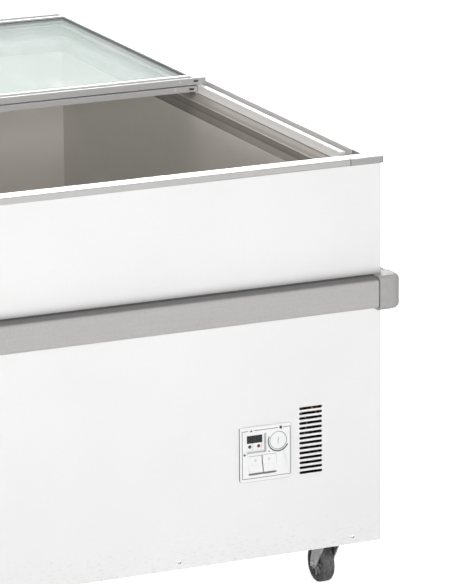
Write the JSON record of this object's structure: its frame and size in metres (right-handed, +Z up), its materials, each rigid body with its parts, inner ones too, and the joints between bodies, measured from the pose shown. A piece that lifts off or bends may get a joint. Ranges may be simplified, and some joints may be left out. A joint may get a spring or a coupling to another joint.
{
  "type": "display chest freezer",
  "caption": "Island display freezer with sliding glass lids on side rails, bumper band, thermostat panel, machine bay and swivel castors.",
  "frame": {"origin": "on the floor under the middle of the cabinet", "axes": "+Z up, +Y from the control end to the far end, +X to the right seen from the control end"},
  "size_m": [0.902, 1.552, 0.873],
  "materials": {
    "white_steel": "satin white coated sheet",
    "galvanised_steel": "galvanised",
    "insulation_foam": "rigid foam",
    "liner_sheet": "light grey coated sheet",
    "copper_tube": "drawn copper",
    "anodised_aluminium": "satin anodised",
    "cap_plastic": "moulded",
    "breaker_plastic": "extruded warm grey",
    "bumper_plastic": "extruded grey",
    "bumper_cap_plastic": "moulded grey",
    "panel_plastic": "moulded white",
    "display_dark": "smoked",
    "green_lens": "translucent",
    "red_lens": "translucent",
    "dark_plastic": "moulded black",
    "compressor_paint": "black enamel",
    "condenser_metal": "dark coated fins",
    "zinc_steel": "zinc plated",
    "castor_tyre": "dark grey rubber",
    "lid_glass": "toughened",
    "lid_frame_plastic": "extruded grey"
  },
  "bodies": {
    "cabinet": {"control_end_panel": "white_steel", "far_end_panel": "white_steel", "left_side_panel": "white_steel", "right_side_panel": "white_steel", "base_tray": "galvanised_steel", "foam_body": "insulation_foam", "inner_liner": "liner_sheet", "evaporator_coil": "copper_tube", "rim_left": "anodised_aluminium", "rim_right": "anodised_aluminium", "rim_near": "anodised_aluminium", "rim_far": "anodised_aluminium", "rim_corner_caps": "cap_plastic", "lid_rail_left": "anodised_aluminium", "lid_rail_right": "anodised_aluminium", "breaker_left": "breaker_plastic", "breaker_right": "breaker_plastic", "breaker_near": "breaker_plastic", "breaker_far": "breaker_plastic", "bumper_left": "bumper_plastic", "bumper_right": "bumper_plastic", "bumper_near": "bumper_plastic", "bumper_far": "bumper_plastic", "bumper_corner_caps": "bumper_cap_plastic", "control_bezel": "panel_plastic", "display_module": "panel_plastic", "display_window": "display_dark", "green_lamp": "green_lens", "red_lamp": "red_lens", "thermostat_body": "dark_plastic", "switch_housing": "dark_plastic", "compressor": "compressor_paint", "condenser": "condenser_metal", "fan_motor": "dark_plastic", "refrigerant_pipes": "copper_tube", "cable_gland": "dark_plastic", "castor_plates": "zinc_steel"},
    "upper_lid": {"upper_lid_glass": "lid_glass", "upper_lid_stile_left": "lid_frame_plastic", "upper_lid_stile_right": "lid_frame_plastic", "upper_lid_end_near": "lid_frame_plastic", "upper_lid_end_far": "lid_frame_plastic"},
    "lower_lid": {"lower_lid_glass": "lid_glass", "lower_lid_stile_left": "lid_frame_plastic", "lower_lid_stile_right": "lid_frame_plastic", "lower_lid_end_near": "lid_frame_plastic", "lower_lid_end_far": "lid_frame_plastic"},
    "dial": {"thermostat_dial": "panel_plastic"},
    "main_switch": {"main_rocker": "panel_plastic"},
    "light_switch": {"light_rocker": "panel_plastic"},
    "fan": {"fan_blade": "dark_plastic"},
    "drain": {"drain_plug": "cap_plastic"},
    "fork_1": {"castor_fork_1": "zinc_steel"},
    "wheel_1": {"castor_wheel_1": "castor_tyre"},
    "fork_2": {"castor_fork_2": "zinc_steel"},
    "wheel_2": {"castor_wheel_2": "castor_tyre"},
    "fork_3": {"castor_fork_3": "zinc_steel"},
    "wheel_3": {"castor_wheel_3": "castor_tyre"},
    "fork_4": {"castor_fork_4": "zinc_steel"},
    "wheel_4": {"castor_wheel_4": "castor_tyre"}
  },
  "joints": [
    {"name": "upper_lid_slide", "type": "slide", "parent": "cabinet", "child": "upper_lid", "axis": [0, 1, 0], "range_m": [-0.697, 0]},
    {"name": "lower_lid_slide", "type": "slide", "parent": "cabinet", "child": "lower_lid", "axis": [0, 1, 0], "range_m": [-0.697, 0]},
    {"name": "thermostat_turn", "type": "hinge", "parent": "cabinet", "child": "dial", "pos_m": [0.2027, -0.745, 0.3333], "axis": [0, 1, 0], "range_deg": [-45, 225]},
    {"name": "main_switch_tilt", "type": "hinge", "parent": "cabinet", "child": "main_switch", "pos_m": [0.1561, -0.742, 0.2899], "axis": [1, 0, 0], "range_deg": [0, 24]},
    {"name": "light_switch_tilt", "type": "hinge", "parent": "cabinet", "child": "light_switch", "pos_m": [0.1843, -0.742, 0.2899], "axis": [1, 0, 0], "range_deg": [0, 24]},
    {"name": "fan_spin", "type": "hinge", "parent": "cabinet", "child": "fan", "pos_m": [0.29, -0.612, 0.23], "axis": [0, 1, 0], "continuous": true},
    {"name": "drain_plug_lift", "type": "slide", "parent": "cabinet", "child": "drain", "axis": [0, 0, 1], "range_m": [0, 0.03]},
    {"name": "swivel_1", "type": "hinge", "parent": "cabinet", "child": "fork_1", "pos_m": [0.345, -0.66, 0.1], "axis": [0, 0, 1], "continuous": true},
    {"name": "roll_1", "type": "hinge", "parent": "fork_1", "child": "wheel_1", "pos_m": [0.345, -0.634, 0.0375], "axis": [1, 0, 0], "continuous": true},
    {"name": "swivel_2", "type": "hinge", "parent": "cabinet", "child": "fork_2", "pos_m": [0.345, 0.66, 0.1], "axis": [0, 0, 1], "continuous": true},
    {"name": "roll_2", "type": "hinge", "parent": "fork_2", "child": "wheel_2", "pos_m": [0.345, 0.686, 0.0375], "axis": [1, 0, 0], "continuous": true},
    {"name": "swivel_3", "type": "hinge", "parent": "cabinet", "child": "fork_3", "pos_m": [-0.345, 0.66, 0.1], "axis": [0, 0, 1], "continuous": true},
    {"name": "roll_3", "type": "hinge", "parent": "fork_3", "child": "wheel_3", "pos_m": [-0.345, 0.686, 0.0375], "axis": [1, 0, 0], "continuous": true},
    {"name": "swivel_4", "type": "hinge", "parent": "cabinet", "child": "fork_4", "pos_m": [-0.345, -0.66, 0.1], "axis": [0, 0, 1], "continuous": true},
    {"name": "roll_4", "type": "hinge", "parent": "fork_4", "child": "wheel_4", "pos_m": [-0.345, -0.634, 0.0375], "axis": [1, 0, 0], "continuous": true}
  ]
}
